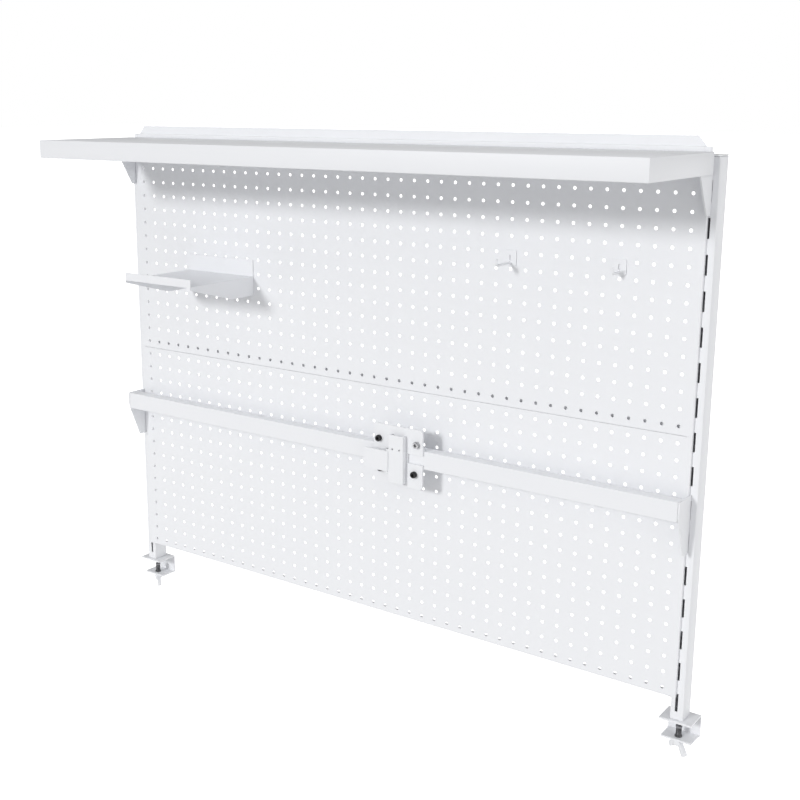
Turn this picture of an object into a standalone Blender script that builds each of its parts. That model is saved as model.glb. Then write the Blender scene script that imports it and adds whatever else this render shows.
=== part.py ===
"""Clamp-on pegboard display stand: two slotted uprights on desk clamps carry two
perforated steel panels, a top shelf, a small shelf, two hooks and a rail with a
sliding monitor mount.

Frame: +X to the viewer's right, +Y away from the viewer, +Z up.
The origin is on the desk top, halfway between the uprights, in the plane of the
panels' front faces. Sizes below are in millimetres; MM turns them into metres.
Touching pieces keep a gap of GAP between them.
"""

import math

import bmesh
import bpy
from mathutils import Matrix, Vector

MM = 0.001
GAP = 0.3

# Hole grid
PITCH = 24.65
COLUMNS = 43
PANEL_ROWS = 16
ROW_0_Z = 765.9
HOLE_R = 2.6

# Panels
SHEET = 1.2
PANEL_HALF = 538.4
PANEL_STAND_OFF = 5.4
PANEL_H = PANEL_ROWS * PITCH
SEAM_Z = ROW_0_Z - 13.5 * PITCH
TAB_H = 14.0
TAB_BACK = 6.0
TAB_HALF = 529.5
BOTTOM_FLANGE = 21.5
RETURN_DEPTH = PANEL_STAND_OFF - GAP

# Uprights
UPRIGHT_X = 540.0
UPRIGHT_W = 20.0
UPRIGHT_D = 30.0
UPRIGHT_WALL = 1.5
UPRIGHT_FRONT = PANEL_STAND_OFF
UPRIGHT_TOP = 814.2
SLOT_W = 4.2
SLOT_H = 28.0
SLOT_STEP = 2 * PITCH
SLOT_0_Z = 30.1
SLOT_COUNT = 16
SLOT_INNER_X = 537.0

# Desk clamps
JAW_PLATE = 3.0
JAW_TOP_W = 49.5
JAW_LOW_W = 47.0
JAW_REAR = 43.5
JAW_LOW_FRONT = 9.0
JAW_LOW_TOP = -29.6
SCREW_Y = 20.0
SCREW_R = 4.4
INSERT_R = 5.6
INSERT_H = 2.0
FOOT_R = 4.8
FOOT_TOP = -11.5
FOOT_H = 4.0
HUB_TOP = -34.5
WING_LOW = -54.0
WING_REACH = 21.0
WING_TURN = math.radians(-38.0)

# Top shelf
TRAY_HALF = 543.8
TRAY_FRONT = -213.5
TRAY_BACK = -2.0
TRAY_TOP = 821.0
TRAY_H = 30.0
BRACKET_PLATE = 2.2
BRACKET_INNER_X = 538.7
SHELF_SLOT = 15

# Monitor rail
RAIL_FRONT = -38.2
RAIL_D = 20.0
RAIL_LOW = 319.5
RAIL_TOP = 349.0
RAIL_SLOTS = (5, 6)

# Monitor mount
MOUNT_X = 77.0
MOUNT_HALF = 46.5
MOUNT_LOW = 285.0
MOUNT_TOP = 383.0
MOUNT_PLATE = 3.5
UPPER_BOLT_HALF_X = 36.0
LOWER_BOLT_HALF_X = 32.0
BOLT_HALF_Z = 24.6
BOLT_R = 3.0
BOLT_HEAD_R = 5.2
BOLT_HEAD_H = 6.0
WINDOW_LOW = 326.0
WINDOW_TOP = 341.5
WINDOW_FROM = 18.0
SADDLE_HALF = 24.0
EAR_PLATE = 4.0
POST_X = 79.0
POST_W = 28.0
POST_FRONT = -52.0
POST_LOW = 291.2
POST_TOP = 370.2
POST_WALL = 2.5
PIN_X = 62.0
PIN_Y = -50.0
PIN_R = 1.2
KNUCKLE_R = 2.5
ARM_LOW = 308.6
ARM_TOP = 342.4
ARM_END_X = 16.8
ARM_PLATE = 3.0

# Small shelf and hooks, hung on the grid
SMALL_SHELF_COLUMNS = range(5, 11)
SMALL_SHELF_ROW = 6
SMALL_SHELF_LEFT = -408.5
SMALL_SHELF_W = 152.0
SMALL_SHELF_DEPTH = 157.0
SMALL_SHELF_Z = 589.1
SMALL_SHEET = 1.5
HOOK_ROW = 4
LONG_HOOK_COLUMN = 31
SHORT_HOOK_COLUMN = 38
HOOK_SHEET = 1.5

WHITE_STEEL = ("white_powder_coat", (0.86, 0.87, 0.89), 0.45, 0.0)
CAP_PLASTIC = ("white_plastic", (0.84, 0.85, 0.86), 0.5, 0.0)
BLACK_STEEL = ("black_oxide_steel", (0.02, 0.02, 0.022), 0.4, 0.6)
DARK_STEEL = ("dark_zinc_steel", (0.09, 0.09, 0.1), 0.4, 0.8)
BRIGHT_STEEL = ("bright_steel", (0.42, 0.42, 0.43), 0.3, 0.9)

PLANES = {
    "XY": Matrix.Identity(4),
    "XZ": Matrix.Rotation(math.pi / 2, 4, "X"),
    "YZ": Matrix(((0, 0, 1, 0), (1, 0, 0, 0), (0, 1, 0, 0), (0, 0, 0, 1))),
}


def column_x(column):
    return (column - (COLUMNS - 1) / 2) * PITCH


def row_z(row):
    return ROW_0_Z - row * PITCH


def slot_z(index):
    return SLOT_0_Z + index * SLOT_STEP


def clear_scene():
    for obj in list(bpy.data.objects):
        bpy.data.objects.remove(obj)


def collection(name, hidden=False):
    made = bpy.data.collections.new(name)
    bpy.context.scene.collection.children.link(made)
    made.hide_render = hidden
    return made


def material(spec):
    name, colour, roughness, metallic = spec
    found = bpy.data.materials.get(name)
    if found:
        return found
    made = bpy.data.materials.new(name)
    made.use_nodes = True
    shader = made.node_tree.nodes["Principled BSDF"]
    shader.inputs["Base Color"].default_value = (*colour, 1.0)
    shader.inputs["Roughness"].default_value = roughness
    shader.inputs["Metallic"].default_value = metallic
    return made


def new_object(name, mesh):
    obj = bpy.data.objects.new(name, mesh)
    helpers.objects.link(obj)
    obj.hide_render = True
    obj.display_type = "WIRE"
    return obj


def finish_part(obj, name, look):
    """Moves a finished shape out of the helpers and gives it its name and material."""
    helpers.objects.unlink(obj)
    parts.objects.link(obj)
    obj.hide_render = False
    obj.display_type = "TEXTURED"
    obj.name = name
    obj.data.materials.clear()
    obj.data.materials.append(material(look))
    return obj


def mesh_from(bm, name):
    mesh = bpy.data.meshes.new(name)
    bmesh.ops.recalc_face_normals(bm, faces=bm.faces)
    bm.to_mesh(mesh)
    bm.free()
    return mesh


def box(low, high):
    bm = bmesh.new()
    bmesh.ops.create_cube(bm, size=1.0)
    size = Vector(high) - Vector(low)
    middle = (Vector(high) + Vector(low)) / 2
    bmesh.ops.scale(bm, vec=size * MM, verts=bm.verts)
    bmesh.ops.translate(bm, vec=middle * MM, verts=bm.verts)
    return new_object("box", mesh_from(bm, "box"))


def cylinder(centre, radius, length, axis="Z", sides=24, turn=0.0):
    """A prism of the given number of sides, centred on a point; 6 sides make a hexagon."""
    bm = bmesh.new()
    bmesh.ops.create_cone(
        bm,
        cap_ends=True,
        segments=sides,
        radius1=radius * MM,
        radius2=radius * MM,
        depth=length * MM,
    )
    lay = {
        "X": Matrix.Rotation(math.pi / 2, 4, "Y"),
        "Y": Matrix.Rotation(math.pi / 2, 4, "X"),
        "Z": Matrix.Identity(4),
    }[axis]
    place = Matrix.Translation(Vector(centre) * MM) @ lay @ Matrix.Rotation(turn, 4, "Z")
    bmesh.ops.transform(bm, matrix=place, verts=bm.verts)
    return new_object("cylinder", mesh_from(bm, "cylinder"))


def as_mesh(curve_object):
    """Replaces a curve object with its evaluated, welded mesh."""
    bpy.context.view_layer.update()
    graph = bpy.context.evaluated_depsgraph_get()
    mesh = bpy.data.meshes.new_from_object(curve_object.evaluated_get(graph))
    bm = bmesh.new()
    bm.from_mesh(mesh)
    bmesh.ops.remove_doubles(bm, verts=bm.verts, dist=1e-6)
    bmesh.ops.transform(bm, matrix=curve_object.matrix_world, verts=bm.verts)
    bmesh.ops.recalc_face_normals(bm, faces=bm.faces)
    bm.to_mesh(mesh)
    bm.free()
    name = curve_object.name
    bpy.data.objects.remove(curve_object)
    return new_object(name, mesh)


def plate(outline, plane, low, high):
    """A flat outline in one of PLANES, as thick as from low to high along the third axis."""
    curve = bpy.data.curves.new("plate", "CURVE")
    curve.dimensions = "2D"
    curve.fill_mode = "BOTH"
    curve.extrude = abs(high - low) / 2 * MM
    spline = curve.splines.new("POLY")
    spline.points.add(len(outline) - 1)
    for point, (u, v) in zip(spline.points, outline):
        point.co = (u * MM, v * MM, 0.0, 1.0)
    spline.use_cyclic_u = True
    obj = new_object("plate", curve)
    middle = (low + high) / 2 * MM
    offset = {"XY": (0, 0, middle), "XZ": (0, middle, 0), "YZ": (middle, 0, 0)}[plane]
    obj.matrix_world = Matrix.Translation(offset) @ PLANES[plane]
    return as_mesh(obj)


def rod(points, radius):
    """A round bar through the points, with flat ends."""
    curve = bpy.data.curves.new("rod", "CURVE")
    curve.dimensions = "3D"
    curve.bevel_depth = radius * MM
    curve.bevel_resolution = 2
    curve.use_fill_caps = True
    spline = curve.splines.new("POLY")
    spline.points.add(len(points) - 1)
    for point, place in zip(spline.points, points):
        point.co = (*(value * MM for value in place), 1.0)
    return as_mesh(new_object("rod", curve))


def turned(profile, centre, steps=32):
    """A solid of revolution about +Z; the profile runs down its outer side, axis to axis."""
    mesh = bpy.data.meshes.new("turned")
    points = [(radius * MM, 0.0, height * MM) for radius, height in profile]
    mesh.from_pydata(points, [(i, i + 1) for i in range(len(points) - 1)], [])
    obj = new_object("turned", mesh)
    screw = obj.modifiers.new("Screw", "SCREW")
    screw.steps = steps
    screw.render_steps = steps
    screw.use_merge_vertices = True
    screw.merge_threshold = 0.00001
    obj.location = Vector(centre) * MM
    return obj


def combine(obj, other, operation):
    modifier = obj.modifiers.new(operation.title(), "BOOLEAN")
    modifier.operation = operation
    modifier.solver = "EXACT"
    modifier.object = other
    return obj


def cut(obj, *others):
    for other in others:
        combine(obj, other, "DIFFERENCE")
    return obj


def join(obj, *others):
    for other in others:
        combine(obj, other, "UNION")
    return obj


def arc(centre, radius, start, end, steps):
    """Points on a circle from one angle to another, in degrees."""
    angles = [math.radians(start + (end - start) * i / steps) for i in range(steps + 1)]
    return [(centre[0] + radius * math.cos(a), centre[1] + radius * math.sin(a)) for a in angles]


def rounded(low, high, radius, steps=4):
    """The outline of a rectangle with round corners."""
    (u0, v0), (u1, v1) = low, high
    points = arc((u1 - radius, v1 - radius), radius, 0, 90, steps)
    points += arc((u0 + radius, v1 - radius), radius, 90, 180, steps)
    points += arc((u0 + radius, v0 + radius), radius, 180, 270, steps)
    points += arc((u1 - radius, v0 + radius), radius, 270, 360, steps)
    return points


def side_name(side):
    return "left" if side < 0 else "right"


def span(side, inner, outer):
    """Two distances from the middle, as low and high X on that side."""
    return (inner, outer) if side > 0 else (-outer, -inner)


def slot_hook(side, inner, outer, index, root_y, tab_h=13.0, lip=9.0):
    """A hook through an upright's slot: a tab through the wall with a lip hanging behind it."""
    low = slot_z(index) - SLOT_H / 2 + GAP
    wall_back = UPRIGHT_FRONT + UPRIGHT_WALL
    outline = [
        (root_y, low),
        (wall_back + 0.6, low),
        (wall_back + 0.6, low - lip),
        (wall_back + 3.6, low - lip),
        (wall_back + 3.6, low + tab_h - 3.0),
        (wall_back + 0.6, low + tab_h),
        (root_y, low + tab_h),
    ]
    return plate(outline, "YZ", *span(side, inner, outer))


def make_upright(side):
    half = UPRIGHT_W / 2
    centre = side * UPRIGHT_X
    back = UPRIGHT_FRONT + UPRIGHT_D
    bottom = JAW_PLATE + GAP
    tube = box((centre - half, UPRIGHT_FRONT, bottom), (centre + half, back, UPRIGHT_TOP))
    edges = tube.modifiers.new("Edges", "BEVEL")
    edges.width = 1.5 * MM
    edges.segments = 2
    edges.limit_method = "WEIGHT"
    weights = tube.data.attributes.new("bevel_weight_edge", "FLOAT", "EDGE")
    for edge in tube.data.edges:
        a, b = (tube.data.vertices[i].co for i in edge.vertices)
        weights.data[edge.index].value = float(abs(a.z - b.z) > 0.1)
    inner = half - UPRIGHT_WALL
    cut(
        tube,
        box(
            (centre - inner, UPRIGHT_FRONT + UPRIGHT_WALL, bottom - 5),
            (centre + inner, back - UPRIGHT_WALL, UPRIGHT_TOP + 5),
        ),
    )
    x_low, x_high = span(side, SLOT_INNER_X, SLOT_INNER_X + SLOT_W)
    for index in range(SLOT_COUNT):
        z = slot_z(index)
        slot = box(
            (x_low, UPRIGHT_FRONT - 2, z - SLOT_H / 2),
            (x_high, UPRIGHT_FRONT + UPRIGHT_WALL + 2, z + SLOT_H / 2),
        )
        cut(tube, slot)
    finish_part(tube, f"upright_{side_name(side)}", WHITE_STEEL)


def make_top_cap(side):
    centre = side * UPRIGHT_X
    half = UPRIGHT_W / 2
    plug_half = half - UPRIGHT_WALL - GAP
    front, back = UPRIGHT_FRONT, UPRIGHT_FRONT + UPRIGHT_D
    plug_front = front + UPRIGHT_WALL + GAP
    plug_back = back - UPRIGHT_WALL - GAP
    cap = box(
        (centre - half, front, UPRIGHT_TOP + GAP), (centre + half, back, UPRIGHT_TOP + GAP + 2.2)
    )
    edges = cap.modifiers.new("Edges", "BEVEL")
    edges.width = 0.8 * MM
    edges.segments = 2
    plug = box(
        (centre - plug_half, plug_front, UPRIGHT_TOP - 8),
        (centre + plug_half, plug_back, UPRIGHT_TOP + 1.2),
    )
    finish_part(join(cap, plug), f"top_cap_{side_name(side)}", CAP_PLASTIC)


def make_panel(name, bottom, with_flange, hook_slots, holes):
    """A pressed sheet with a joggled tab along its top and returns down its sides."""
    top = bottom + PANEL_H - GAP
    half = PANEL_HALF - SHEET / 2
    tab_front, tab_back = TAB_BACK, TAB_BACK + SHEET
    section = [
        (0, bottom),
        (0, top),
        (tab_front, top),
        (tab_front, top + TAB_H),
        (tab_back, top + TAB_H),
        (tab_back, top - SHEET),
        (SHEET, top - SHEET),
    ]
    if with_flange:
        section += [
            (SHEET, bottom + SHEET),
            (BOTTOM_FLANGE, bottom + SHEET),
            (BOTTOM_FLANGE, bottom),
        ]
    else:
        section += [(SHEET, bottom)]
    panel = plate(section, "YZ", -half, half)
    flanges = [(top - 5, top + 5)] + ([(bottom - 5, bottom + 10)] if with_flange else [])
    for low, high in flanges:
        for side in (-1, 1):
            x_low, x_high = span(side, TAB_HALF, half + 5)
            cut(panel, box((x_low, RETURN_DEPTH - 0.3, low), (x_high, BOTTOM_FLANGE + 5, high)))
    for side in (-1, 1):
        x_low, x_high = span(side, PANEL_HALF - SHEET, PANEL_HALF)
        join(panel, box((x_low, 0, bottom), (x_high, RETURN_DEPTH, top - 0.5)))
        for index in hook_slots:
            join(
                panel,
                slot_hook(side, PANEL_HALF - SHEET, PANEL_HALF, index, RETURN_DEPTH - 2.0),
            )
        chamfer = [
            (side * (half + 5), top + 2.0),
            (side * (TAB_HALF + 0.5), top + 2.0),
            (side * (TAB_HALF - TAB_H), top + TAB_H + 1),
            (side * (half + 5), top + TAB_H + 1),
        ]
        cut(panel, plate(chamfer, "XZ", -2, 12))
    for column, row in holes:
        cut(panel, cylinder((column_x(column), 0, row_z(row)), HOLE_R, 8, "Y", sides=12))
    finish_part(panel, name, WHITE_STEEL)


def make_clamp_jaw(side):
    """A C of flat bar: the desk edge goes into its mouth, which faces the viewer."""
    centre = side * UPRIGHT_X
    low_bottom = JAW_LOW_TOP - JAW_PLATE
    section = [
        (0, 0),
        (JAW_REAR - JAW_PLATE, 0),
        (JAW_REAR - JAW_PLATE, JAW_LOW_TOP),
        (JAW_LOW_FRONT, JAW_LOW_TOP),
        (JAW_LOW_FRONT, low_bottom),
        (JAW_REAR - 2, low_bottom),
        (JAW_REAR, low_bottom + 2),
        (JAW_REAR, JAW_PLATE - 2),
        (JAW_REAR - 2, JAW_PLATE),
        (0, JAW_PLATE),
    ]
    jaw = plate(section, "YZ", centre - JAW_TOP_W / 2, centre + JAW_TOP_W / 2)
    trim = (JAW_TOP_W - JAW_LOW_W) / 2
    for end in (-1, 1):
        edge = centre + end * JAW_TOP_W / 2
        x_low, x_high = sorted((edge - end * trim, edge + end * 5))
        cut(
            jaw,
            box(
                (x_low, JAW_LOW_FRONT - 5, low_bottom - 5),
                (x_high, JAW_REAR - 5, JAW_LOW_TOP + 5),
            ),
        )
    cut(jaw, cylinder((centre, SCREW_Y, JAW_LOW_TOP), SCREW_R + GAP, 20))
    finish_part(jaw, f"clamp_jaw_{side_name(side)}", WHITE_STEEL)


def make_clamp_screw_set(side):
    """Threaded insert, screw, swivel foot and wing handle of one desk clamp."""
    centre = side * UPRIGHT_X
    where = side_name(side)
    insert_low = JAW_LOW_TOP + GAP
    bore = SCREW_R + GAP
    insert_profile = [
        (0, insert_low + INSERT_H),
        (INSERT_R - 0.8, insert_low + INSERT_H),
        (INSERT_R, insert_low + INSERT_H - 0.8),
        (INSERT_R, insert_low),
        (0, insert_low),
    ]
    insert = turned(insert_profile, (centre, SCREW_Y, 0), steps=24)
    cut(insert, cylinder((centre, SCREW_Y, insert_low), bore, 10))
    finish_part(insert, f"clamp_insert_{where}", DARK_STEEL)

    foot_low = FOOT_TOP - FOOT_H
    socket_r = 2.2
    foot_profile = [
        (0, FOOT_TOP),
        (FOOT_R - 0.8, FOOT_TOP),
        (FOOT_R, FOOT_TOP - 0.8),
        (FOOT_R, foot_low + 0.5),
        (FOOT_R - 0.5, foot_low),
        (socket_r, foot_low),
        (socket_r, FOOT_TOP - 1.6),
        (0, FOOT_TOP - 1.6),
    ]
    foot = turned(foot_profile, (centre, SCREW_Y, 0))
    finish_part(foot, f"clamp_foot_{where}", DARK_STEEL)

    shaft_top = foot_low - GAP
    shaft_low = HUB_TOP - 7.0
    ball_r = socket_r - GAP
    screw_profile = [
        (0, FOOT_TOP - 1.6 - GAP),
        (ball_r, FOOT_TOP - 1.6 - GAP),
        (ball_r, shaft_top),
        (SCREW_R - 0.8, shaft_top),
        (SCREW_R, shaft_top - 0.8),
        (SCREW_R, shaft_low + 0.8),
        (SCREW_R - 0.8, shaft_low),
        (0, shaft_low),
    ]
    screw = turned(screw_profile, (centre, SCREW_Y, 0))
    finish_part(screw, f"clamp_screw_{where}", DARK_STEEL)

    hub_r = 7.0
    hub_low = HUB_TOP - 9.5
    hub_profile = [
        (0, HUB_TOP),
        (hub_r - 1, HUB_TOP),
        (hub_r, HUB_TOP - 1),
        (hub_r, hub_low + 2),
        (hub_r - 2, hub_low),
        (0, hub_low),
    ]
    handle = turned(hub_profile, (0, 0, 0))
    tip = (WING_REACH - 4.5, WING_LOW + 4.5)
    wing = [(2.0, HUB_TOP - 1.0), (hub_r, HUB_TOP - 1.0)]
    wing += arc(tip, 4.5, 35, -125, 8)
    wing += [(hub_r - 1.0, hub_low + 1.0), (2.0, hub_low + 1.0)]
    for end in (-1, 1):
        blade = plate([(end * r, z) for r, z in wing], "XZ", -3.6, 3.6)
        join(handle, blade)
    bore_low = shaft_low - GAP
    bore_h = HUB_TOP + 5 - bore_low
    cut(handle, cylinder((0, 0, bore_low + bore_h / 2), SCREW_R + GAP, bore_h))
    handle.matrix_world = Matrix.Translation(Vector((centre, SCREW_Y, 0)) * MM)
    handle.matrix_world @= Matrix.Rotation(WING_TURN, 4, "Z")
    for modifier in handle.modifiers:
        if modifier.type == "BOOLEAN":
            modifier.object.matrix_world = handle.matrix_world
    finish_part(handle, f"wing_handle_{where}", WHITE_STEEL)


def make_shelf_tray():
    """A folded tray, open below, with a lip turned back under its front edge."""
    inner = TRAY_HALF - SHEET
    low = TRAY_TOP - TRAY_H
    tray = box((-TRAY_HALF, TRAY_FRONT, low), (TRAY_HALF, TRAY_BACK, TRAY_TOP))
    edges = tray.modifiers.new("Edges", "BEVEL")
    edges.width = 1.0 * MM
    edges.segments = 2
    cut(
        tray,
        box(
            (-inner, TRAY_FRONT + SHEET, low - 5),
            (inner, TRAY_BACK - SHEET, TRAY_TOP - SHEET),
        ),
    )
    lip_half = BRACKET_INNER_X - 14.0
    join(
        tray,
        box(
            (-lip_half, TRAY_FRONT + SHEET / 2, low + 1.0),
            (lip_half, TRAY_FRONT + 12.0, low + 1.0 + SHEET),
        ),
    )
    finish_part(tray, "shelf_tray", WHITE_STEEL)


SHELF_SCREW_Y = (-160.0, -50.0)
SHELF_SCREW_INSET = 7.5
FLANGE_W = 12.0


def make_shelf_bracket(side):
    """A cantilever plate with a folded top flange."""
    plate_low, plate_high = span(side, BRACKET_INNER_X, BRACKET_INNER_X + BRACKET_PLATE)
    rear = UPRIGHT_FRONT - GAP
    top = TRAY_TOP - SHEET - GAP
    low = 737.5
    outline = [
        (rear, low),
        (-8.0, low),
        (-38.5, 790.5),
        (-52.0, 798.0),
        (-196.0, 806.0),
        (-196.0, top),
        (TRAY_BACK - SHEET - GAP, top),
        (TRAY_BACK - SHEET - GAP, TRAY_TOP - TRAY_H - GAP),
        (rear, TRAY_TOP - TRAY_H - GAP),
    ]
    bracket = plate(outline, "YZ", plate_low, plate_high)
    flange = span(side, BRACKET_INNER_X - FLANGE_W, BRACKET_INNER_X + 1.0)
    join(bracket, box((flange[0], -194.0, top - 2.0), (flange[1], -12.0, top)))
    hook_inner, hook_outer = BRACKET_INNER_X + 0.1, BRACKET_INNER_X + BRACKET_PLATE - 0.1
    join(bracket, slot_hook(side, hook_inner, hook_outer, SHELF_SLOT, rear - 4))
    screw_x = side * (BRACKET_INNER_X - SHELF_SCREW_INSET)
    for y in SHELF_SCREW_Y:
        cut(bracket, cylinder((screw_x, y, top), 2.8, 20, sides=16))
    finish_part(bracket, f"shelf_bracket_{side_name(side)}", WHITE_STEEL)


def make_shelf_screws(side):
    """Pan-head screws from below, through the bracket's flange, against the tray."""
    flange_low = TRAY_TOP - SHEET - GAP - 2.0
    x = side * (BRACKET_INNER_X - SHELF_SCREW_INSET)
    for y, where in zip(SHELF_SCREW_Y, ("front", "rear")):
        head_top = flange_low - GAP
        profile = [
            (0, TRAY_TOP - SHEET - GAP),
            (2.5, TRAY_TOP - SHEET - GAP),
            (2.5, head_top),
            (4.7, head_top),
            (4.7, head_top - 1.6),
            (3.4, head_top - 3.0),
            (0, head_top - 3.0),
        ]
        screw = turned(profile, (x, y, 0), steps=16)
        finish_part(screw, f"shelf_screw_{side_name(side)}_{where}", BRIGHT_STEEL)


def make_rail():
    half = BRACKET_INNER_X - GAP
    wall = 1.5
    rear = RAIL_FRONT + RAIL_D
    rail = box((-half, RAIL_FRONT, RAIL_LOW), (half, rear, RAIL_TOP))
    cut(
        rail,
        box((-half - 5, RAIL_FRONT + wall, RAIL_LOW + wall), (half + 5, rear - wall, RAIL_TOP - wall)),
    )
    finish_part(rail, "monitor_rail", WHITE_STEEL)


def make_rail_bracket(side):
    """A plate that closes the rail's end, hooked into two slots of the upright."""
    inner, outer = BRACKET_INNER_X, BRACKET_INNER_X + BRACKET_PLATE
    rear = UPRIGHT_FRONT - GAP
    low = 262.9
    corner = 2.0
    outline = [(rear, low), (-14.0, low)]
    outline += [(-36.5, 319.0), (RAIL_FRONT, 326.0)]
    outline += arc((RAIL_FRONT + corner, RAIL_TOP - corner), corner, 180, 90, 4)
    outline += [(rear, RAIL_TOP)]
    bracket = plate(outline, "YZ", *span(side, inner, outer))
    for index in RAIL_SLOTS:
        join(bracket, slot_hook(side, inner + 0.1, outer - 0.1, index, rear - 4))
    finish_part(bracket, f"rail_bracket_{side_name(side)}", WHITE_STEEL)


def mount_bolt_places():
    middle_z = (RAIL_LOW + RAIL_TOP) / 2
    for z_end, level, half_x in ((1, "upper", UPPER_BOLT_HALF_X), (-1, "lower", LOWER_BOLT_HALF_X)):
        for x_end, where in ((-1, "left"), (1, "right")):
            place = (MOUNT_X + x_end * half_x, middle_z + z_end * BOLT_HALF_Z)
            yield place, f"{level}_{where}"


def make_mount_front_plate():
    """The clamping plate, with a window on each side that leaves the rail's face open."""
    front = RAIL_FRONT - GAP - MOUNT_PLATE
    back = RAIL_FRONT - GAP
    corners = ((MOUNT_X - MOUNT_HALF, MOUNT_LOW), (MOUNT_X + MOUNT_HALF, MOUNT_TOP))
    made = plate(rounded(*corners, 6.0), "XZ", front, back)
    for end in (-1, 1):
        x_low, x_high = sorted((MOUNT_X + end * WINDOW_FROM, MOUNT_X + end * (MOUNT_HALF + 5)))
        cut(made, box((x_low, front - 5, WINDOW_LOW), (x_high, back + 5, WINDOW_TOP)))
    for (x, z), _ in mount_bolt_places():
        cut(made, cylinder((x, front, z), BOLT_R + GAP, 20, "Y", sides=16))
    finish_part(made, "mount_front_plate", WHITE_STEEL)


def make_mount_saddle():
    """A bent bar round the back of the rail, with ears that the bolts screw into."""
    front = RAIL_FRONT
    inner_back = RAIL_FRONT + RAIL_D + GAP
    back = inner_back + 3.0
    low, top = RAIL_LOW - GAP, RAIL_TOP + GAP
    section = [
        (front, low),
        (inner_back, low),
        (inner_back, top),
        (front, top),
        (front, top + 3.0),
        (back, top + 3.0),
        (back, low - 3.0),
        (front, low - 3.0),
    ]
    saddle = plate(section, "YZ", MOUNT_X - SADDLE_HALF, MOUNT_X + SADDLE_HALF)
    ear_half = MOUNT_HALF - 3.5
    for ear_low, ear_top in ((MOUNT_LOW + 4.0, low - 1.0), (top + 1.0, MOUNT_TOP - 4.0)):
        corners = ((MOUNT_X - ear_half, ear_low), (MOUNT_X + ear_half, ear_top))
        join(saddle, plate(rounded(*corners, 4.0), "XZ", front + 0.1, front + EAR_PLATE))
    for (x, z), _ in mount_bolt_places():
        cut(saddle, cylinder((x, front, z), BOLT_R + GAP, 20, "Y", sides=16))
    finish_part(saddle, "mount_saddle", WHITE_STEEL)


def make_mount_bolts():
    """Socket-head bolts above and below the rail pull the saddle to the plate."""
    head_back = RAIL_FRONT - GAP - MOUNT_PLATE - GAP
    head_front = head_back - BOLT_HEAD_H
    tip = RAIL_FRONT + EAR_PLATE - 0.5
    for (x, z), where in mount_bolt_places():
        bolt = cylinder((x, (head_front + head_back) / 2, z), BOLT_HEAD_R, BOLT_HEAD_H, "Y")
        edges = bolt.modifiers.new("Edges", "BEVEL")
        edges.width = 0.6 * MM
        edges.segments = 1
        shank_front = head_back - 1.0
        shank = cylinder((x, (shank_front + tip) / 2, z), BOLT_R, tip - shank_front, "Y", sides=16)
        join(bolt, shank)
        cut(bolt, cylinder((x, head_front, z), 2.88, 7, "Y", sides=6))
        look = BRIGHT_STEEL if where == "upper_right" else BLACK_STEEL
        finish_part(bolt, f"mount_bolt_{where}", look)


def make_mount_post():
    """An upright channel, open towards the rail, with two ears for the arm's pin."""
    half = POST_W / 2
    back = RAIL_FRONT - GAP - MOUNT_PLATE - GAP
    post = box((POST_X - half, POST_FRONT, POST_LOW), (POST_X + half, back, POST_TOP))
    edges = post.modifiers.new("Edges", "BEVEL")
    edges.width = 0.8 * MM
    edges.segments = 2
    inner = half - POST_WALL
    cut(
        post,
        box(
            (POST_X - inner, POST_FRONT + POST_WALL, POST_LOW - 5),
            (POST_X + inner, back + 5, POST_TOP + 5),
        ),
    )
    wall_x = POST_X - half + 1.5
    outline = [(wall_x, PIN_Y - 1.5), (wall_x, PIN_Y + 4.0), (PIN_X, PIN_Y + KNUCKLE_R)]
    outline += arc((PIN_X, PIN_Y), KNUCKLE_R, 90, 250, 6)[1:]
    for low, high in ((ARM_LOW - GAP - 3.0, ARM_LOW - GAP), (ARM_TOP + GAP, ARM_TOP + GAP + 3.0)):
        ear = plate(outline, "XY", low, high)
        cut(ear, cylinder((PIN_X, PIN_Y, (low + high) / 2), PIN_R + GAP, 12, sides=12))
        join(post, ear)
    for end in (-1, 1):
        cut(post, cylinder((POST_X + end * 6.7, POST_FRONT, 347.2), 1.6, 12, "Y", sides=12))
    finish_part(post, "mount_post", WHITE_STEEL)


def make_mount_arm():
    """The folded arm and the pin that it swings on."""
    middle_z = (ARM_LOW + ARM_TOP) / 2
    arm = cylinder((PIN_X, PIN_Y, middle_z), KNUCKLE_R, ARM_TOP - ARM_LOW, sides=20)
    face = PIN_Y - KNUCKLE_R - 0.1
    join(arm, plate(arm_outline(), "XZ", face, face + ARM_PLATE))
    cut(arm, cylinder((PIN_X, PIN_Y, middle_z), PIN_R + GAP, ARM_TOP - ARM_LOW + 10, sides=12))
    finish_part(arm, "mount_swing_arm", WHITE_STEEL)
    pin_top = ARM_TOP + GAP + 3.0 + GAP
    pin_low = ARM_LOW - GAP - 3.0 - 1.0
    profile = [
        (0, pin_top + 1.0),
        (1.8, pin_top + 1.0),
        (2.2, pin_top + 0.6),
        (2.2, pin_top),
        (PIN_R, pin_top),
        (PIN_R, pin_low + 0.4),
        (PIN_R - 0.4, pin_low),
        (0, pin_low),
    ]
    finish_part(turned(profile, (PIN_X, PIN_Y, 0), steps=16), "mount_hinge_pin", BRIGHT_STEEL)


def arm_outline():
    """The arm's blade: square at the pin, round corners at its free end."""
    corner = 5.0
    low_left = (ARM_END_X + corner, ARM_LOW + corner)
    top_left = (ARM_END_X + corner, ARM_TOP - corner)
    outline = [(PIN_X + 0.2, ARM_LOW), (PIN_X + 0.2, ARM_TOP)]
    outline += arc(top_left, corner, 90, 180, 4)
    outline += arc(low_left, corner, 180, 270, 4)
    return outline


def grid_tab(column, row, root_y):
    """A flat tab, bent back from a sheet's top edge, through one hole of the grid."""
    x = column_x(column)
    low = row_z(row) - 1.8
    return box((x - 1.7, root_y, low), (x + 1.7, SHEET + 5.0, low + SMALL_SHEET))


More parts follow.
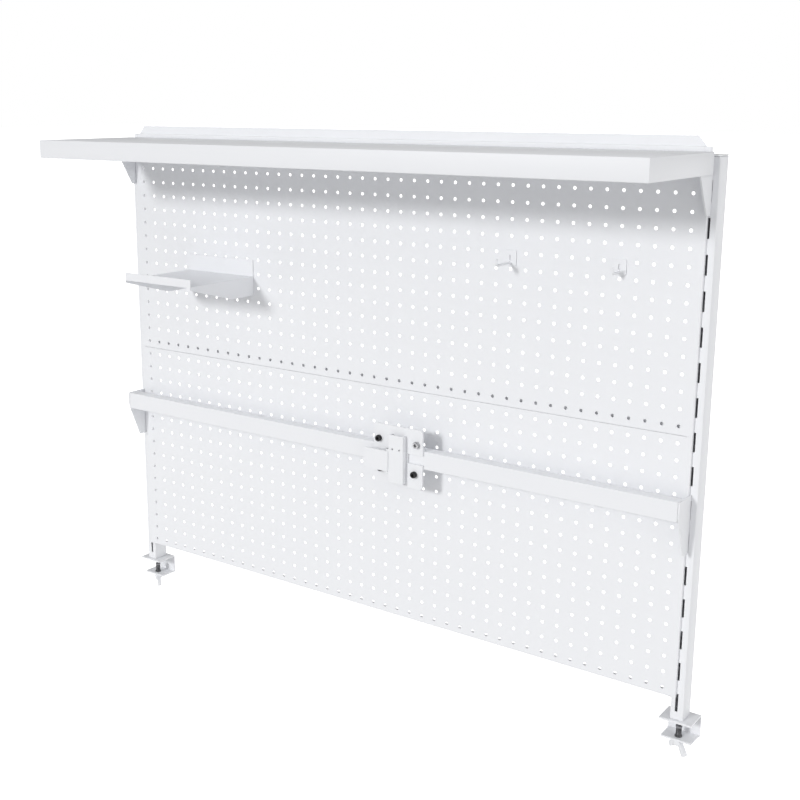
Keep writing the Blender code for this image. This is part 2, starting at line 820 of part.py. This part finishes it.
def grid_peg(column, row, root_y):
    """A round peg through one hole of the grid."""
    tip = SHEET + 5.0
    middle = (column_x(column), (root_y + tip) / 2, row_z(row))
    return cylinder(middle, HOLE_R - 0.55, tip - root_y, "Y", sides=12)


def make_small_shelf():
    """A folded tray with a back plate, a front lip and two tapered end gussets."""
    left, right = SMALL_SHELF_LEFT, SMALL_SHELF_LEFT + SMALL_SHELF_W
    back = -GAP
    front = back - SMALL_SHELF_DEPTH
    top = SMALL_SHELF_Z
    under = top - SMALL_SHEET
    tab_top = row_z(SMALL_SHELF_ROW) - 1.8 + SMALL_SHEET
    section = [
        (back, under),
        (back, tab_top),
        (back - SMALL_SHEET, tab_top),
        (back - SMALL_SHEET, top),
        (front + SMALL_SHEET, top),
        (front + SMALL_SHEET, top + 12.0),
        (front, top + 12.0),
        (front, under),
    ]
    inset = 0.2
    shelf = plate(section, "YZ", left + inset, right - inset)
    gusset = [
        (back - inset, top - 0.6),
        (back - inset, 556.3),
        (back - 57.0, 556.3),
        (front + inset, 583.5),
        (front + inset, top - 0.6),
    ]
    for low, high in ((left, left + SMALL_SHEET), (right - SMALL_SHEET, right)):
        join(shelf, plate(gusset, "YZ", low, high))
    for column in SMALL_SHELF_COLUMNS:
        join(shelf, grid_tab(column, SMALL_SHELF_ROW, back - 1.0))
    finish_part(shelf, "small_shelf", WHITE_STEEL)


def make_hook(name, column, reach):
    """A small hanging plate with a round arm that turns up at its end."""
    x = column_x(column)
    back = -GAP
    top = row_z(HOOK_ROW) + 3.8
    low = top - 22.0
    outline = rounded((x - 10.0, low), (x + 10.0, top), 2.0, steps=3)
    base = plate(outline, "XZ", back - HOOK_SHEET, back)
    join(base, grid_peg(column, HOOK_ROW, back - 1.0))
    slot_z_low = low + 7.5
    cut(base, box((x - 1.5, back - 5, slot_z_low), (x + 1.5, back + 5, slot_z_low + 7.0)))
    arm_z = low + 3.6
    arm_r = 2.0
    bend = 4.0
    bend_y = back - reach + arm_r + bend
    droop = 0.5
    path = [(x, back - 0.6, arm_z), (x, back - 0.5 * reach, arm_z - droop / 2)]
    turn = arc((bend_y, arm_z - droop + bend), bend, 270, 180, 5)
    path += [(x, y, z) for y, z in turn]
    path += [(x, bend_y - bend, arm_z - droop + bend + 6.0)]
    join(base, rod(path, arm_r))
    finish_part(base, name, WHITE_STEEL)


clear_scene()
parts = collection("pegboard_display_stand")
helpers = collection("cutters_and_joined_shapes", hidden=True)

shelf_holes = [(column, SMALL_SHELF_ROW) for column in SMALL_SHELF_COLUMNS]
hook_holes = [(LONG_HOOK_COLUMN, HOOK_ROW), (SHORT_HOOK_COLUMN, HOOK_ROW)]
make_panel("panel_upper", SEAM_Z + GAP / 2, False, (9, 15), shelf_holes + hook_holes)
make_panel("panel_lower", SEAM_Z - PANEL_H + GAP / 2, True, (1, 7), [])
for end in (-1, 1):
    make_upright(end)
    make_top_cap(end)
    make_clamp_jaw(end)
    make_clamp_screw_set(end)
    make_shelf_bracket(end)
    make_shelf_screws(end)
    make_rail_bracket(end)
make_shelf_tray()
make_rail()
make_mount_front_plate()
make_mount_saddle()
make_mount_bolts()
make_mount_post()
make_mount_arm()
make_small_shelf()
make_hook("hook_long", LONG_HOOK_COLUMN, 45.0)
make_hook("hook_short", SHORT_HOOK_COLUMN, 25.0)

for part in parts.objects:
    part.data.shade_smooth()
    part.data.set_sharp_from_angle(angle=math.radians(30))
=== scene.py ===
"""Looks for the clamp-on pegboard display stand: perforated panels, folded-sheet edges,
threaded clamp screws and powder-coat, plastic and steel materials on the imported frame.

Lengths are in metres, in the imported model's own frame: +X right, +Y to the rear, +Z up.
"""

import math

import bmesh
import bpy
from mathutils import Euler, Matrix, Vector


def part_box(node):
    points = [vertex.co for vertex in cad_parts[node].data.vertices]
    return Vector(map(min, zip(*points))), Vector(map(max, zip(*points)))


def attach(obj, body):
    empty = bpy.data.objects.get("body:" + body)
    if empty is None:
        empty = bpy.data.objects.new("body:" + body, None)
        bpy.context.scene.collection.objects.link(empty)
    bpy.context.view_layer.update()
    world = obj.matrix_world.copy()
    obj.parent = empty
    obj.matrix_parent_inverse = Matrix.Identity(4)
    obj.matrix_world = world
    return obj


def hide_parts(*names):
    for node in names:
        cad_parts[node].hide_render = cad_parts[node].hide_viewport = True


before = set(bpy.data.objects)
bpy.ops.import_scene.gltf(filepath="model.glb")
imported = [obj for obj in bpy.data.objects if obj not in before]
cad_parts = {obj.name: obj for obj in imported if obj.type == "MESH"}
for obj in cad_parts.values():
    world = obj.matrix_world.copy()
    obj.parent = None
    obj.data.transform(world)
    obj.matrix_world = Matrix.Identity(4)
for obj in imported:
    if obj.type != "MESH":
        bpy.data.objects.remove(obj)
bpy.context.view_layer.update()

# Hole grid of the panels
PITCH = 0.02465
COLUMNS = 43
PANEL_ROWS = 16
HOLE_R = 0.0026
HOLE_STEPS = 16
RIM = 0.00035
SHEET = 0.0012
BEND_R = 0.0008
GRID_HALF = COLUMNS * PITCH / 2
TAB_HEIGHT = 0.014
TAB_FRONT = 0.006
TAB_HALF = 0.5295
TAB_CHAMFER_FROM = 0.002
RETURN_DEPTH = 0.0051
FOLD_REACH = 0.003

# Clamp screws
THREAD_R = 0.00435
THREAD_DEPTH = 0.0008
THREAD_LEAD = 0.00125
INSERT_BORE = 0.0047

# The mount's socket-head bolts
BOLT_HEAD_R = 0.0052
BOLT_HEAD_H = 0.006
BOLT_SHANK_R = 0.003
SOCKET_DEPTH = 0.0034
SOCKET_FLATS = 0.005

# Studio light: an even part, then what each side of the world adds (axis, sign, amount)
WORLD_EVEN = 0.34
WORLD_SIDES = (("X", 1.0, 0.58), ("Y", -1.0, 0.10), ("Z", 1.0, 0.14))
KEY_TRAVEL = (0.26, 1.0, -0.355)
KEY_STRENGTH = 1.34
KEY_ANGLE = 10.0
FLOOR_Z = -0.75

# Camera place in hole pitches: from the left column, the panels' faces and the desk top
CAMERA_COLUMN = 66.016
CAMERA_DEPTH = -63.626
CAMERA_HEIGHT = 4.849 + 31.07

STAND = "stand"
SHELF = "shelf"
RAIL = "rail"
MOUNT = "mount"
WHITE = "white_powder_coat"
PLASTIC = "white_plastic"
BLACK = "black_oxide_steel"
DARK = "dark_zinc_steel"
BRIGHT = "bright_steel"


# ---------------------------------------------------------------- materials


def node_material(name, base, roughness, metallic=0.0):
    made = bpy.data.materials.new(name)
    made.use_nodes = True
    nodes, links = made.node_tree.nodes, made.node_tree.links
    shader = nodes["Principled BSDF"]
    shader.inputs["Base Color"].default_value = (*base, 1)
    shader.inputs["Roughness"].default_value = roughness
    shader.inputs["Metallic"].default_value = metallic
    where = nodes.new("ShaderNodeTexCoord")
    return made, nodes, links, shader, where.outputs["Object"]


def noise(nodes, links, vector, scale, detail=2.0, stretch=None):
    if stretch:
        mapping = nodes.new("ShaderNodeMapping")
        mapping.inputs["Scale"].default_value = stretch
        links.new(vector, mapping.inputs["Vector"])
        vector = mapping.outputs["Vector"]
    made = nodes.new("ShaderNodeTexNoise")
    made.inputs["Scale"].default_value = scale
    made.inputs["Detail"].default_value = detail
    links.new(vector, made.inputs["Vector"])
    return made.outputs["Fac"]


def ramp(nodes, links, value, low, high):
    """Maps a 0 to 1 value onto the range between two numbers."""
    made = nodes.new("ShaderNodeMapRange")
    made.inputs["From Min"].default_value = 0.3
    made.inputs["From Max"].default_value = 0.7
    made.inputs["To Min"].default_value = low
    made.inputs["To Max"].default_value = high
    links.new(value, made.inputs["Value"])
    return made.outputs["Result"]


def tint(nodes, links, value, dark, light):
    made = nodes.new("ShaderNodeMix")
    made.data_type = "RGBA"
    made.inputs["A"].default_value = (*dark, 1)
    made.inputs["B"].default_value = (*light, 1)
    links.new(value, made.inputs["Factor"])
    return made.outputs["Result"]


def bump(nodes, links, height, shader, distance, strength=1.0):
    made = nodes.new("ShaderNodeBump")
    made.inputs["Distance"].default_value = distance
    made.inputs["Strength"].default_value = strength
    links.new(height, made.inputs["Height"])
    links.new(made.outputs["Normal"], shader.inputs["Normal"])


def powder_coat():
    """Satin white powder coat: a fine orange peel, slightly uneven gloss and tone."""
    made, nodes, links, shader, where = node_material(WHITE, (0.85, 0.86, 0.885), 0.48)
    broad = noise(nodes, links, where, 14.0)
    colour = tint(nodes, links, broad, (0.843, 0.853, 0.880), (0.862, 0.871, 0.893))
    links.new(colour, shader.inputs["Base Color"])
    peel = noise(nodes, links, where, 520.0, detail=3.0)
    links.new(ramp(nodes, links, peel, 0.44, 0.54), shader.inputs["Roughness"])
    bump(nodes, links, peel, shader, 0.00004, 0.5)
    shader.inputs["Specular IOR Level"].default_value = 0.4
    return made


def moulded_plastic():
    made, nodes, links, shader, where = node_material(PLASTIC, (0.83, 0.84, 0.85), 0.5)
    grain = noise(nodes, links, where, 1400.0, detail=4.0)
    links.new(ramp(nodes, links, grain, 0.42, 0.6), shader.inputs["Roughness"])
    colour = tint(nodes, links, noise(nodes, links, where, 60.0), (0.82, 0.83, 0.84), (0.84, 0.85, 0.86))
    links.new(colour, shader.inputs["Base Color"])
    bump(nodes, links, grain, shader, 0.00005, 0.5)
    return made


def black_oxide():
    made, nodes, links, shader, where = node_material(BLACK, (0.02, 0.02, 0.022), 0.36, 0.55)
    blotch = noise(nodes, links, where, 420.0, detail=4.0)
    colour = tint(nodes, links, blotch, (0.012, 0.012, 0.014), (0.034, 0.033, 0.035))
    links.new(colour, shader.inputs["Base Color"])
    links.new(ramp(nodes, links, blotch, 0.28, 0.46), shader.inputs["Roughness"])
    bump(nodes, links, noise(nodes, links, where, 3000.0), shader, 0.00003, 0.4)
    return made


def plated_steel(name, dark, light, rough_low, rough_high, metallic):
    """Turned and zinc-plated steel: fine rings round Z and a cloudy plating."""
    made, nodes, links, shader, where = node_material(name, light, rough_low, metallic)
    cloud = noise(nodes, links, where, 260.0, detail=4.0)
    links.new(tint(nodes, links, cloud, dark, light), shader.inputs["Base Color"])
    links.new(ramp(nodes, links, cloud, rough_low, rough_high), shader.inputs["Roughness"])
    rings = noise(nodes, links, where, 400.0, stretch=(1.0, 1.0, 14.0))
    bump(nodes, links, rings, shader, 0.00003, 0.4)
    return made


MATERIALS = {
    WHITE: powder_coat(),
    PLASTIC: moulded_plastic(),
    BLACK: black_oxide(),
    DARK: plated_steel(DARK, (0.07, 0.07, 0.075), (0.26, 0.26, 0.27), 0.22, 0.4, 0.85),
    BRIGHT: plated_steel(BRIGHT, (0.36, 0.36, 0.37), (0.5, 0.5, 0.51), 0.22, 0.36, 0.95),
}


# ---------------------------------------------------------------- shapes


def smooth_by_angle(mesh, degrees=32.0):
    mesh.shade_smooth()
    mesh.set_sharp_from_angle(angle=math.radians(degrees))


def piece(name, bm, body, slot, replaces=(), smooth=32.0):
    """A finished bmesh as a piece that rides on a body and stands for CAD nodes."""
    mesh = bpy.data.meshes.new(name)
    bmesh.ops.recalc_face_normals(bm, faces=bm.faces)
    bm.to_mesh(mesh)
    bm.free()
    smooth_by_angle(mesh, smooth)
    made = bpy.data.objects.new(name, mesh)
    bpy.context.scene.collection.objects.link(made)
    mesh.materials.append(MATERIALS[slot])
    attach(made, body)
    if replaces:
        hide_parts(*replaces)
    return made


def softened(node, body, slot, width=0.0004, segments=2):
    """A copy of a CAD node with its triangles merged and its edges rounded."""
    bm = bmesh.new()
    bm.from_mesh(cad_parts[node].data)
    bmesh.ops.remove_doubles(bm, verts=bm.verts, dist=1e-6)
    bmesh.ops.dissolve_limit(
        bm, angle_limit=math.radians(0.5), verts=bm.verts, edges=bm.edges, use_dissolve_boundaries=False
    )
    made = piece(f"{node}_finished", bm, body, slot, [node])
    edges = made.modifiers.new("Edges", "BEVEL")
    edges.width = width
    edges.segments = segments
    edges.limit_method = "ANGLE"
    edges.angle_limit = math.radians(32)
    edges.use_clamp_overlap = True
    edges.harden_normals = True
    return made


def extrude(bm, ring_a, ring_b):
    """Joins two equal rings of points with quads and closes both ends."""
    a = [bm.verts.new(p) for p in ring_a]
    b = [bm.verts.new(p) for p in ring_b]
    count = len(a)
    for i in range(count):
        j = (i + 1) % count
        bm.faces.new((a[i], a[j], b[j], b[i]))
    bm.faces.new(list(reversed(a)))
    bm.faces.new(b)


def folded(path, thickness, radius, steps=4):
    """The closed outline of a sheet bent along a path; its inside bends have the radius."""
    points = [Vector(p) for p in path]
    middle_r = radius + thickness / 2
    rail = []
    for i, point in enumerate(points):
        if i in (0, len(points) - 1):
            other = points[1] if i == 0 else points[-2]
            along = (other - point) if i == 0 else (point - other)
            rail.append((point, along.normalized()))
            continue
        before = (point - points[i - 1]).normalized()
        after = (points[i + 1] - point).normalized()
        turn = before.angle_signed(after)
        reach = middle_r * math.tan(abs(turn) / 2)
        start = point - before * reach
        side = -1 if turn > 0 else 1
        centre = start + Vector((-before.y, before.x)) * middle_r * side
        for k in range(steps + 1):
            angle = -turn * k / steps
            spoke = Matrix.Rotation(angle, 2) @ (start - centre)
            heading = Matrix.Rotation(angle, 2) @ before
            rail.append((centre + spoke, heading))
    half = thickness / 2
    one = [p + Vector((-d.y, d.x)) * half for p, d in rail]
    two = [p - Vector((-d.y, d.x)) * half for p, d in rail]
    return one + list(reversed(two))


def revolve(bm, profile, centre, steps=48):
    """A turned solid; the profile runs from axis to axis as (radius, height)."""
    rings = []
    for radius, height in profile:
        if radius < 1e-7:
            rings.append([Vector((0, 0, height))])
            continue
        ring = []
        for k in range(steps):
            angle = 2 * math.pi * k / steps
            ring.append(Vector((radius * math.cos(angle), radius * math.sin(angle), height)))
        rings.append(ring)
    stitch(bm, rings, centre)


def stitch(bm, rings, centre, axis="Z"):
    """Joins rings of points, some of them a single point, into a closed skin."""
    lay = {"Z": Matrix.Identity(3), "-Y": Matrix.Rotation(math.pi / 2, 3, "X")}[axis]
    made = [[bm.verts.new(Vector(centre) + lay @ p) for p in ring] for ring in rings]
    for a, b in zip(made, made[1:]):
        count = max(len(a), len(b))
        for i in range(count):
            j = (i + 1) % count
            quad = [a[i % len(a)], a[j % len(a)], b[j % len(b)], b[i % len(b)]]
            corners = list(dict.fromkeys(quad))
            if len(corners) > 2:
                bm.faces.new(corners)


# ---------------------------------------------------------------- perforated panels


def hole_ring(x, z, radius, y):
    points = []
    for k in range(HOLE_STEPS):
        angle = 2 * math.pi * (k + 0.5) / HOLE_STEPS
        points.append(Vector((x + radius * math.cos(angle), y, z + radius * math.sin(angle))))
    return points


def perforated(bm, bottom, top, first_row_z):
    """A sheet with a full grid of holes, each with a softened rim on both faces."""
    corners = {}

    def corner(x, z, y):
        key = (round(x, 6), round(z, 6), round(y, 6))
        if key not in corners:
            corners[key] = bm.verts.new((x, y, z))
        return corners[key]

    quarter = HOLE_STEPS // 4
    for row in range(PANEL_ROWS):
        z = first_row_z - row * PITCH
        z_high = min(z + PITCH / 2, top)
        z_low = max(z - PITCH / 2, bottom)
        for column in range(COLUMNS):
            x = (column - (COLUMNS - 1) / 2) * PITCH
            x_low, x_high = x - PITCH / 2, x + PITCH / 2
            square = [(x_high, z_high), (x_low, z_high), (x_low, z_low), (x_high, z_low)]
            rings = [
                hole_ring(x, z, HOLE_R + RIM, 0.0),
                hole_ring(x, z, HOLE_R, RIM),
                hole_ring(x, z, HOLE_R, SHEET - RIM),
                hole_ring(x, z, HOLE_R + RIM, SHEET),
            ]
            rings = [[bm.verts.new(p) for p in ring] for ring in rings]
            for y, ring in ((0.0, rings[0]), (SHEET, rings[3])):
                outer = [corner(*place, y) for place in square]
                for q in range(4):
                    arc = [ring[(q * quarter + k) % HOLE_STEPS] for k in range(quarter)]
                    after = ring[((q + 1) * quarter) % HOLE_STEPS]
                    bm.faces.new([*arc, outer[q]])
                    bm.faces.new((arc[-1], after, outer[(q + 1) % 4], outer[q]))
            for a, b in zip(rings, rings[1:]):
                for i in range(HOLE_STEPS):
                    j = (i + 1) % HOLE_STEPS
                    bm.faces.new((a[i], a[j], b[j], b[i]))


def make_panel(node, flange):
    low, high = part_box(node)
    bottom = low.z
    tab_top = high.z
    top = tab_top - TAB_HEIGHT
    bm = bmesh.new()
    first_row = top + 0.00015 - PITCH / 2
    sheet_low = bottom + (FOLD_REACH if flange else 0.0)
    sheet_high = top - FOLD_REACH
    perforated(bm, sheet_low, sheet_high, first_row)
    half = high.x
    middle = SHEET / 2
    for side in (-1, 1):
        path = [
            (side * GRID_HALF, middle),
            (side * (half - middle), middle),
            (side * (half - middle), RETURN_DEPTH),
        ]
        outline = folded(path, SHEET, BEND_R)
        extrude(
            bm,
            [Vector((p.x, p.y, bottom)) for p in outline],
            [Vector((p.x, p.y, top)) for p in outline],
        )
    chamfer_from = top + TAB_CHAMFER_FROM
    ledge = folded(
        [
            (middle, sheet_high),
            (middle, top - middle),
            (TAB_FRONT + middle, top - middle),
            (TAB_FRONT + middle, tab_top),
        ],
        SHEET,
        BEND_R,
    )

    def tab_end(side):
        points = []
        for p in ledge:
            reach = TAB_HALF - max(0, p.y - chamfer_from)
            points.append(Vector((side * reach, p.x, p.y)))
        return points

    extrude(bm, tab_end(-1), tab_end(1))
    if flange:
        lip_path = [
            (middle, sheet_low),
            (middle, bottom + middle),
            (high.y, bottom + middle),
        ]
        lip = folded(lip_path, SHEET, BEND_R)
        extrude(
            bm,
            [Vector((-TAB_HALF, p.x, p.y)) for p in lip],
            [Vector((TAB_HALF, p.x, p.y)) for p in lip],
        )
    made = piece(f"{node}_perforated", bm, STAND, WHITE, [node])
    flatten = made.modifiers.new("Flat faces", "WEIGHTED_NORMAL")
    flatten.keep_sharp = True
    flatten.weight = 100


# ---------------------------------------------------------------- clamps and fasteners


def thread_rings(radius, depth, lead, z_high, z_low, steps=32, per_lead=8):
    """Rings of a shaft whose radius follows a helix, with a short cone at the top."""
    rings = [[Vector((0, 0, z_high))]]
    count = int((z_high - z_low) / lead * per_lead)
    for j in range(count + 1):
        z = z_high - (z_high - z_low) * j / count
        fade = min(1.0, (z_high - z) / 0.0008)
        ring = []
        for k in range(steps):
            angle = 2 * math.pi * k / steps
            phase = (z / lead - k / steps) % 1.0
            flank = abs(2 * phase - 1)
            cut = depth * min(1.0, 1.25 * flank)
            r = (radius - cut) * (0.82 + 0.18 * fade)
            ring.append(Vector((r * math.cos(angle), r * math.sin(angle), z)))
        rings.append(ring)
    rings.append([Vector((0, 0, z_low))])
    return rings


def make_clamp_insert(where):
    """The threaded bush in the clamp's lower plate: chamfered outside and at its bore."""
    node = f"clamp_insert_{where}"
    low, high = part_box(node)
    outer, bore = (high.x - low.x) / 2, INSERT_BORE
    profile = [
        (outer, low.z),
        (outer, high.z - 0.0006),
        (outer - 0.0005, high.z),
        (bore + 0.0002, high.z),
        (bore, high.z - 0.0002),
        (bore, low.z),
        (outer, low.z),
    ]
    centre = ((low.x + high.x) / 2, (low.y + high.y) / 2, 0)
    bm = bmesh.new()
    revolve(bm, profile, centre)
    bmesh.ops.remove_doubles(bm, verts=bm.verts, dist=1e-7)
    piece(f"{node}_turned", bm, STAND, DARK, [node])


def make_clamp_screw(where):
    """The screw's threaded shaft, and the plain neck that turns in its foot."""
    body = f"screw_{where}"
    low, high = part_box(f"clamp_screw_{where}")
    centre = Vector(((low.x + high.x) / 2, (low.y + high.y) / 2, 0))
    foot_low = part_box(f"clamp_foot_{where}")[0].z
    bm = bmesh.new()
    shaft_top = foot_low - 0.0003
    stitch(bm, thread_rings(THREAD_R, THREAD_DEPTH, THREAD_LEAD, shaft_top, low.z), centre)
    neck_low = shaft_top - 0.001
    neck = [
        (0, high.z),
        (0.0016, high.z),
        (0.0019, high.z - 0.0004),
        (0.0019, neck_low),
        (0, neck_low),
    ]
    revolve(bm, neck, centre)
    piece(f"clamp_thread_{where}", bm, body, DARK, [f"clamp_screw_{where}"], smooth=50)


def cast_copy(node, body, slot, voxel=0.0005, rounds=6):
    """A copy of a CAD node with every edge rounded, as a casting has them."""
    bm = bmesh.new()
    bm.from_mesh(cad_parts[node].data)
    made = piece(f"{node}_cast", bm, body, slot, [node], smooth=180)
    remesh = made.modifiers.new("Voxels", "REMESH")
    remesh.mode = "VOXEL"
    remesh.voxel_size = voxel
    remesh.use_smooth_shade = True
    smooth = made.modifiers.new("Rounding", "SMOOTH")
    smooth.factor = 0.5
    smooth.iterations = rounds
    return made


def hexagon_radius(angle, flats):
    return flats / 2 / math.cos((angle % (math.pi / 3)) - math.pi / 6)


def make_mount_bolt(where, slot):
    """Socket-head cap screw: a knurled head with a hexagon socket, and its shank."""
    node = f"mount_bolt_{where}"
    low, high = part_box(node)
    x, z = (low.x + high.x) / 2, (low.z + high.z) / 2
    front, back = low.y, high.y
    steps = 96
    rings = []

    def ring(radius_at, y):
        points = []
        for k in range(steps):
            angle = 2 * math.pi * k / steps
            r = radius_at(angle, k)
            points.append(Vector((r * math.cos(angle), r * math.sin(angle), y - front)))
        rings.append(points)

    rings.append([Vector((0, 0, SOCKET_DEPTH))])
    ring(lambda a, k: hexagon_radius(a, SOCKET_FLATS) * 0.96, front + SOCKET_DEPTH)
    ring(lambda a, k: hexagon_radius(a, SOCKET_FLATS), front + SOCKET_DEPTH - 0.0002)
    ring(lambda a, k: hexagon_radius(a, SOCKET_FLATS), front + 0.0004)
    ring(lambda a, k: hexagon_radius(a, SOCKET_FLATS) + 0.0004, front)
    ring(lambda a, k: BOLT_HEAD_R - 0.0009, front)
    ring(lambda a, k: BOLT_HEAD_R - 0.0002, front + 0.0006)
    ring(lambda a, k: BOLT_HEAD_R - 0.0002 * (k % 2), front + 0.0009)
    ring(lambda a, k: BOLT_HEAD_R - 0.0002 * (k % 2), front + BOLT_HEAD_H - 0.0006)
    ring(lambda a, k: BOLT_HEAD_R - 0.0002, front + BOLT_HEAD_H - 0.0002)
    ring(lambda a, k: BOLT_HEAD_R - 0.0006, front + BOLT_HEAD_H)
    ring(lambda a, k: BOLT_SHANK_R, front + BOLT_HEAD_H)
    ring(lambda a, k: BOLT_SHANK_R, back - 0.0005)
    ring(lambda a, k: BOLT_SHANK_R - 0.0005, back)
    rings.append([Vector((0, 0, back - front))])
    bm = bmesh.new()
    turned_rings = [[Vector((p.x, p.y, -p.z)) for p in points] for points in rings]
    stitch(bm, turned_rings, (x, front, z), axis="-Y")
    piece(f"{node}_knurled", bm, MOUNT, slot, [node], smooth=38)


# ---------------------------------------------------------------- the pieces

make_panel("panel_upper", False)
make_panel("panel_lower", True)
for where in ("left", "right"):
    softened(f"upright_{where}", STAND, WHITE, 0.0003)
    softened(f"top_cap_{where}", STAND, PLASTIC, 0.0004)
    softened(f"clamp_jaw_{where}", STAND, WHITE, 0.0006, 3)
    make_clamp_insert(where)
    softened(f"clamp_foot_{where}", f"foot_{where}", DARK, 0.0003)
    make_clamp_screw(where)
    cast_copy(f"wing_handle_{where}", f"screw_{where}", WHITE)
    softened(f"shelf_bracket_{where}", SHELF, WHITE, 0.0004)
    softened(f"rail_bracket_{where}", RAIL, WHITE, 0.0005)
    for place in ("front", "rear"):
        softened(f"shelf_screw_{where}_{place}", SHELF, BRIGHT, 0.0003)
softened("shelf_tray", SHELF, WHITE, 0.0004)
softened("monitor_rail", RAIL, WHITE, 0.0012, 4)
for plate in ("mount_front_plate", "mount_saddle", "mount_post"):
    softened(plate, MOUNT, WHITE, 0.0005)
softened("mount_hinge_pin", MOUNT, BRIGHT, 0.0003)
softened("mount_swing_arm", "arm", WHITE, 0.0006, 3)
for where in ("upper_left", "upper_right", "lower_left", "lower_right"):
    make_mount_bolt(where, BRIGHT if where == "upper_right" else BLACK)
softened("small_shelf", "small_shelf", WHITE, 0.0005)
softened("hook_long", "hook_long", WHITE, 0.0003)
softened("hook_short", "hook_short", WHITE, 0.0003)


# ---------------------------------------------------------------- room, light and camera


def make_floor():
    """A white studio floor, as far down as a room's floor is below a desk top. It is
    seen and reflected, but sheds no diffuse light and casts no shadow."""
    bm = bmesh.new()
    bmesh.ops.create_grid(bm, x_segments=1, y_segments=1, size=60.0)
    mesh = bpy.data.meshes.new("floor")
    bm.to_mesh(mesh)
    bm.free()
    floor = bpy.data.objects.new("floor", mesh)
    bpy.context.scene.collection.objects.link(floor)
    floor.location.z = FLOOR_Z
    floor.visible_diffuse = False
    floor.visible_shadow = False
    made, _, _, shader, _ = node_material("studio_floor", (0.9, 0.9, 0.9), 0.9)
    shader.inputs["Specular IOR Level"].default_value = 0.0
    shader.inputs["Emission Color"].default_value = (1, 1, 1, 1)
    shader.inputs["Emission Strength"].default_value = 1.0
    mesh.materials.append(made)


def make_world():
    """White behind everything; on the object, a softer light that is stronger from the
    front and from the right."""
    world = bpy.data.worlds.new("studio")
    bpy.context.scene.world = world
    world.use_nodes = True
    nodes, links = world.node_tree.nodes, world.node_tree.links
    background = nodes["Background"]
    background.inputs["Color"].default_value = (1, 1, 1, 1)

    def calculate(operation, first, second):
        made = nodes.new("ShaderNodeMath")
        made.operation = operation
        for socket, value in zip(made.inputs, (first, second)):
            if isinstance(value, float):
                socket.default_value = value
            else:
                links.new(value, socket)
        return made.outputs[0]

    towards = nodes.new("ShaderNodeSeparateXYZ")
    links.new(nodes.new("ShaderNodeTexCoord").outputs["Generated"], towards.inputs[0])
    level = WORLD_EVEN
    for axis, sign, amount in WORLD_SIDES:
        facing = calculate("MULTIPLY", towards.outputs[axis], sign)
        glow = calculate("MULTIPLY", calculate("MAXIMUM", facing, 0.0), amount)
        level = calculate("ADD", glow, level)
    rays = nodes.new("ShaderNodeLightPath")
    level = calculate("MAXIMUM", level, rays.outputs["Is Camera Ray"])
    links.new(level, background.inputs["Strength"])


def make_sun(name, travel, strength, angle):
    light = bpy.data.lights.new(name, "SUN")
    light.energy = strength
    light.angle = math.radians(angle)
    made = bpy.data.objects.new(name, light)
    made.rotation_euler = Vector(travel).to_track_quat("-Z", "Y").to_euler()
    bpy.context.scene.collection.objects.link(made)


make_floor()
make_world()
make_sun("key", KEY_TRAVEL, KEY_STRENGTH, KEY_ANGLE)

camera_data = bpy.data.cameras.new("camera")
camera_data.sensor_width = 36.0
camera_data.lens = 54.2
camera_data.shift_x = 0.0619
camera_data.shift_y = -0.0244
camera = bpy.data.objects.new("camera", camera_data)
camera.location = (
    (CAMERA_COLUMN - (COLUMNS - 1) / 2) * PITCH,
    CAMERA_DEPTH * PITCH,
    CAMERA_HEIGHT * PITCH,
)
camera.rotation_euler = Euler((math.radians(76.93), 0.0, math.radians(36.43)))
bpy.context.scene.collection.objects.link(camera)
bpy.context.scene.camera = camera
bpy.context.scene.view_settings.view_transform = "Standard"
